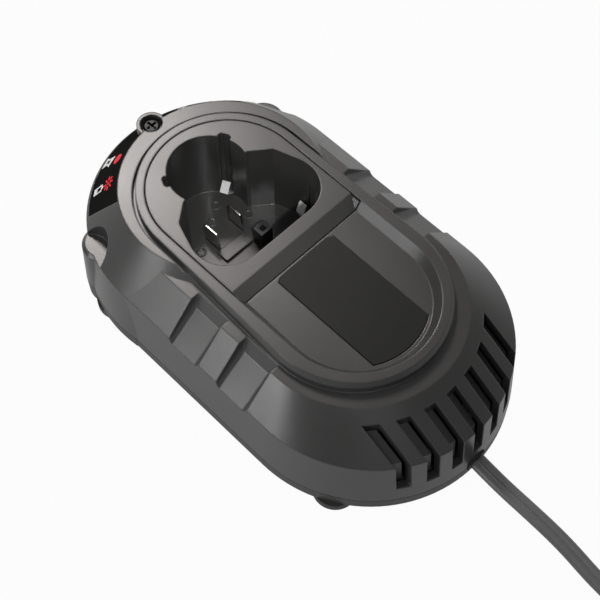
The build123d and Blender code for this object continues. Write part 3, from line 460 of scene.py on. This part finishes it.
def mouldedPlastic(name, s, m):
    mat, tree, links, shader = newMaterial(name)
    place = tree.new("ShaderNodeTexCoord").outputs["Object"]
    grain = addNoise(tree, links, place, s["grain"], m["detail"], m["grainRoughness"])
    patches = addNoise(tree, links, place, m["patchScale"], m["detail"], m["patchRoughness"])
    patch = patches.outputs["Fac"]
    dark = [c * (1 - s["mottle"]) for c in s["colour"]]
    light = [c * (1 + s["mottle"]) for c in s["colour"]]
    colour = addRamp(tree, links, patch, m["patchRange"], dark, light)
    rounding = addRounding(tree, s["edge"], m["edgeSamples"])
    bump = addBump(tree, links, shader, grain.outputs["Fac"], s["bump"], m["grainDepth"])
    links.new(rounding.outputs["Normal"], bump.inputs["Normal"])
    # where the rounded normal leaves the flat one, the texture is rubbed
    shape = tree.new("ShaderNodeNewGeometry")
    turn = tree.new("ShaderNodeVectorMath")
    turn.operation = "DOT_PRODUCT"
    links.new(rounding.outputs["Normal"], turn.inputs[0])
    links.new(shape.outputs["Normal"], turn.inputs[1])
    wear = tree.new("ShaderNodeMapRange")
    wear.inputs["From Min"].default_value = 1.0
    wear.inputs["From Max"].default_value = m["rubbedFully"]
    links.new(turn.outputs["Value"], wear.inputs["Value"])
    worn = tree.new("ShaderNodeMix")
    worn.data_type = "RGBA"  # its two colours are inputs 6 and 7, and their mix is output 2
    worn.inputs[7].default_value = (*[min(1, c * s["rubbed"]) for c in s["colour"]], 1)
    links.new(wear.outputs["Result"], worn.inputs[0])
    links.new(colour.outputs["Color"], worn.inputs[6])
    links.new(worn.outputs[2], shader.inputs["Base Color"])
    rough = addRange(tree, links, patch, s["rough"] - m["roughSpread"], s["rough"] + m["roughSpread"])
    links.new(rough.outputs["Result"], shader.inputs["Roughness"])
    shader.inputs["Specular IOR Level"].default_value = s.get("specular", m["specular"])
    return mat


# Bare and plated metals: a fine grain, squeezed into drawn lines along an axis whose stretch is over 1

metalwork = {
    "lineScale": 900.0,
    "lineDetail": 5.0,
    "lineRoughness": 0.5,
    "lineRange": (0.35, 0.65),
    "lineDark": 0.85,
    "smoother": 0.06,
    "rougher": 0.08,
    "bump": 0.08,
    "bumpDepth": 0.00003,
    "edge": 0.00015,
    "edgeSamples": 4,
}

metals = {
    "nickel": {
        "colour": (0.75, 0.74, 0.72), "rough": 0.22, "stretch": (1, 1, 6), "metallic": 1.0,
    },
    "blackenedSteel": {
        "colour": (0.035, 0.035, 0.035), "rough": 0.42, "stretch": (1, 1, 1), "metallic": 1.0,
    },
    # near-white colour that barely mirrors: a painted glint, standing in for the bright reflection off
    # the tin plating
    "springTinPaintedGlint": {
        "colour": (0.97, 0.97, 0.96), "rough": 0.3, "stretch": (1, 1, 6), "metallic": 0.1,
    },
    "zinc": {
        "colour": (0.42, 0.42, 0.42), "rough": 0.35, "stretch": (1, 1, 1), "metallic": 1.0,
    },
    "extruded": {
        "colour": (0.6, 0.61, 0.62), "rough": 0.4, "stretch": (8, 1, 1), "metallic": 1.0,
    },
}


def drawnMetal(name, s, m):
    mat, tree, links, shader = newMaterial(name)
    coords = tree.new("ShaderNodeTexCoord")
    lines = tree.new("ShaderNodeMapping")
    lines.inputs["Scale"].default_value = s["stretch"]
    links.new(coords.outputs["Object"], lines.inputs["Vector"])
    place = lines.outputs["Vector"]
    noise = addNoise(tree, links, place, m["lineScale"], m["lineDetail"], m["lineRoughness"])
    line = noise.outputs["Fac"]
    dark = [c * m["lineDark"] for c in s["colour"]]
    colour = addRamp(tree, links, line, m["lineRange"], dark, s["colour"])
    links.new(colour.outputs["Color"], shader.inputs["Base Color"])
    rough = addRange(tree, links, line, s["rough"] - m["smoother"], s["rough"] + m["rougher"])
    links.new(rough.outputs["Result"], shader.inputs["Roughness"])
    rounding = addRounding(tree, m["edge"], m["edgeSamples"])
    bump = addBump(tree, links, shader, line, m["bump"], m["bumpDepth"])
    links.new(rounding.outputs["Normal"], bump.inputs["Normal"])
    shader.inputs["Metallic"].default_value = s["metallic"]
    return mat


# Coats, sleeves and inks: a smooth layer that varies slightly

coating = {
    "detail": 4.0,
    "roughness": 0.6,
    "range": (0.35, 0.65),
    "smoother": 0.05,
    "rougher": 0.08,
    "bump": 0.2,
    "bumpDepth": 0.00004,
}

coats = {
    "boardResist": {
        "scale": 400.0, "dark": (0.01, 0.07, 0.03), "light": (0.02, 0.11, 0.05), "rough": 0.4,
    },
    "ledLens": {
        "scale": 200.0, "dark": (0.55, 0.02, 0.02), "light": (0.65, 0.04, 0.03), "rough": 0.15,
    },
    "ferrite": {
        "scale": 900.0, "dark": (0.03, 0.03, 0.035), "light": (0.06, 0.06, 0.065), "rough": 0.6,
    },
    "windingTape": {
        "scale": 250.0, "dark": (0.55, 0.38, 0.05), "light": (0.65, 0.47, 0.08), "rough": 0.35,
    },
    "blackSleeve": {
        "scale": 300.0, "dark": (0.02, 0.022, 0.03), "light": (0.03, 0.032, 0.04), "rough": 0.25,
    },
    "blueSleeve": {
        "scale": 300.0, "dark": (0.01, 0.02, 0.12), "light": (0.015, 0.03, 0.16), "rough": 0.25,
    },
    "enamelledWire": {
        "scale": 700.0, "dark": (0.25, 0.07, 0.02), "light": (0.4, 0.13, 0.04), "rough": 0.3,
    },
    "yellowCase": {
        "scale": 200.0, "dark": (0.55, 0.4, 0.03), "light": (0.62, 0.46, 0.05), "rough": 0.35,
    },
    "fuseCase": {
        "scale": 300.0, "dark": (0.08, 0.03, 0.015), "light": (0.1, 0.04, 0.02), "rough": 0.35,
    },
    "terminalGreen": {
        "scale": 300.0, "dark": (0.02, 0.14, 0.05), "light": (0.03, 0.18, 0.07), "rough": 0.4,
    },
    "coreSheath": {
        "scale": 500.0, "dark": (0.02, 0.05, 0.25), "light": (0.03, 0.07, 0.32), "rough": 0.4,
    },
    "redInk": {
        "scale": 900.0, "dark": (0.7, 0.008, 0.02), "light": (0.85, 0.012, 0.03), "rough": 0.6,
    },
    "whiteInk": {
        "scale": 900.0, "dark": (0.8, 0.8, 0.8), "light": (0.9, 0.9, 0.9), "rough": 0.4,
    },
}


def smoothCoat(name, s, m):
    mat, tree, links, shader = newMaterial(name)
    place = tree.new("ShaderNodeTexCoord").outputs["Object"]
    noise = addNoise(tree, links, place, s["scale"], m["detail"], m["roughness"])
    cloud = noise.outputs["Fac"]
    colour = addRamp(tree, links, cloud, m["range"], s["dark"], s["light"])
    links.new(colour.outputs["Color"], shader.inputs["Base Color"])
    rough = addRange(tree, links, cloud, s["rough"] - m["smoother"], s["rough"] + m["rougher"])
    links.new(rough.outputs["Result"], shader.inputs["Roughness"])
    addBump(tree, links, shader, cloud, m["bump"], m["bumpDepth"])
    return mat


materials = {}
for name, s in plastics.items():
    materials[name] = mouldedPlastic(name, s, moulding)
for name, s in metals.items():
    materials[name] = drawnMetal(name, s, metalwork)
for name, s in coats.items():
    materials[name] = smoothCoat(name, s, coating)
print(len(materials), "materials made")

finishes = {
    "upper_housing": "housingPlastic",
    "lower_housing": "basePlastic",
    "battery_cup": "cupPlastic",
    "label_plate": "labelPlastic",
    "indicator_window_left": "windowPlastic",
    "indicator_window_right": "windowPlastic",
    "vent_baffle": "bafflePlastic",
    "terminal_holder": "innerPlastic",
    "sensor_socket": "innerPlastic",
    "cord_clamp": "innerPlastic",
    "power_transistor": "innerPlastic",
    "controller_chip": "innerPlastic",
    "strain_relief": "glandRubber",
    "plug_body": "plugPlastic",
    "top_screw": "blackenedSteel",
    "case_screws": "zinc",
    "board_screws": "zinc",
    "clamp_screws": "zinc",
    "contact_blade_positive": "nickel",
    "contact_blade_negative": "nickel",
    "plug_pins": "nickel",
    # the clips and springs get the near-white tin, whose colour is a painted glint
    "keyway_clip_left": "springTinPaintedGlint",
    "keyway_clip_right": "springTinPaintedGlint",
    "signal_spring_left": "springTinPaintedGlint",
    "signal_spring_right": "springTinPaintedGlint",
    "heatsink": "extruded",
    "circuit_board": "boardResist",
    "led_board": "boardResist",
    "status_leds": "ledLens",
    "transformer_core": "ferrite",
    "transformer_winding": "windingTape",
    "mains_capacitor": "blackSleeve",
    "output_capacitor": "blueSleeve",
    "choke": "enamelledWire",
    "suppressor_capacitor": "yellowCase",
    "fuse": "fuseCase",
    "mains_terminal": "terminalGreen",
    "mains_cores": "coreSheath",
}
for corner in ("front_left", "front_right", "rear_left", "rear_right"):
    finishes["foot_" + corner] = "footRubber"


def giveMaterial(piece, mat):
    piece.data.materials.clear()
    piece.data.materials.append(mat)


for name, finish in finishes.items():
    giveMaterial(nodes[name], materials[finish])
giveMaterial(cord, materials["cordPlastic"])
for piece, ink in printed:
    giveMaterial(piece, materials[ink])
print("materials given; nodes that the lead stands for:", sorted(set(nodes) - set(finishes)))


# Floor, backdrop and lights

studio = {
    "floorSize": 6.0,
    "floorColour": 0.4,
    "floorRough": 0.9,
    "floorSpecular": 0.1,
    "cameraWhite": 0.965,  # how much of the floor's white the camera sees without its shading
    "glossWhite": 0.5,  # and how much of it a reflection sees
    "world": 0.26,
    "softboxes": [
        {"name": "rearSoftbox", "place": (-0.53, 0.23, 0.72), "aim": (0, 0, 0.03),
         "size": 0.2, "power": 3.85, "colour": (1.0, 0.95, 0.92)},
        {"name": "sideSoftbox", "place": (-0.24, -0.82, 0.31), "aim": (0, 0, 0.02),
         "size": 0.3, "power": 2.25, "colour": (1.0, 1.0, 1.0)},
        {"name": "rightStrip", "place": (-0.211, 0.788, 0.38), "aim": (0, 0, 0.03),
         "size": 0.2, "power": 1.0, "colour": (1.0, 1.0, 1.0)},
        {"name": "frontFill", "place": (0.564, -0.325, 0.886), "aim": (0, 0, 0.02),
         "size": 0.5, "power": 0.7, "colour": (1.0, 1.0, 1.0)},
    ],
    # narrow beam into the well, which the softboxes don't reach
    "wellSpot": {"name": "wellSpot", "place": (0.53, -0.33, 0.9), "aim": (-0.022, 0.0, 0.02),
                 "spread": 3.4, "blend": 0.9, "size": 0.03, "power": 50.0},
}


def whiteShare(tree, links, s):
    # share of plain white in what the camera, a clear piece or a reflection sees
    light = tree.new("ShaderNodeLightPath")
    shares = {"Camera": s["cameraWhite"], "Transmission": s["cameraWhite"], "Glossy": s["glossWhite"]}
    total = None
    for ray, share in shares.items():
        part = tree.new("ShaderNodeMath")
        part.operation = "MULTIPLY_ADD"
        part.use_clamp = True
        part.inputs[1].default_value = share
        part.inputs[2].default_value = 0.0
        links.new(light.outputs["Is " + ray + " Ray"], part.inputs[0])
        if total:
            links.new(total, part.inputs[2])
        total = part.outputs[0]
    return total


def addFloor(s):
    clearSelection()
    bpy.ops.mesh.primitive_plane_add(size=s["floorSize"], location=(0, 0, 0))
    floor = bpy.context.object
    floor.name = "studioFloor"
    mat, tree, links, shader = newMaterial("studioWhite")
    shader.inputs["Base Color"].default_value = (s["floorColour"],) * 3 + (1,)
    shader.inputs["Roughness"].default_value = s["floorRough"]
    shader.inputs["Specular IOR Level"].default_value = s["floorSpecular"]
    white = tree.new("ShaderNodeEmission")
    mix = tree.new("ShaderNodeMixShader")
    links.new(whiteShare(tree, links, s), mix.inputs[0])
    links.new(shader.outputs[0], mix.inputs[1])
    links.new(white.outputs[0], mix.inputs[2])
    links.new(mix.outputs[0], tree["Material Output"].inputs["Surface"])
    giveMaterial(floor, mat)


def addWorld(s):
    # white to the camera, and a dimmer light on the object
    world = bpy.data.worlds.new("studioWorld")
    world.use_nodes = True
    tree, links = world.node_tree.nodes, world.node_tree.links
    back = tree["Background"]
    back.inputs["Color"].default_value = (1, 1, 1, 1)
    light = tree.new("ShaderNodeLightPath")
    strength = addRange(tree, links, light.outputs["Is Camera Ray"], s["world"], 1.0)
    links.new(strength.outputs["Result"], back.inputs["Strength"])
    bpy.context.scene.world = world


def addLight(kind, s):
    bpy.ops.object.light_add(type=kind, location=s["place"])
    lamp = bpy.context.object
    lamp.name = s["name"]
    lamp.data.energy = s["power"]
    aimAt(lamp, s["aim"])
    return lamp


def addSoftbox(s):
    lamp = addLight("AREA", s)
    lamp.data.size = s["size"]
    lamp.data.color = s["colour"]


def addSpot(s):
    lamp = addLight("SPOT", s)
    lamp.data.spot_size = math.radians(s["spread"])
    lamp.data.spot_blend = s["blend"]
    lamp.data.shadow_soft_size = s["size"]


addFloor(studio)
addWorld(studio)
addSpot(studio["wellSpot"])
for softbox in studio["softboxes"]:
    addSoftbox(softbox)
bpy.context.scene.view_settings.view_transform = "Standard"
print("studio set")
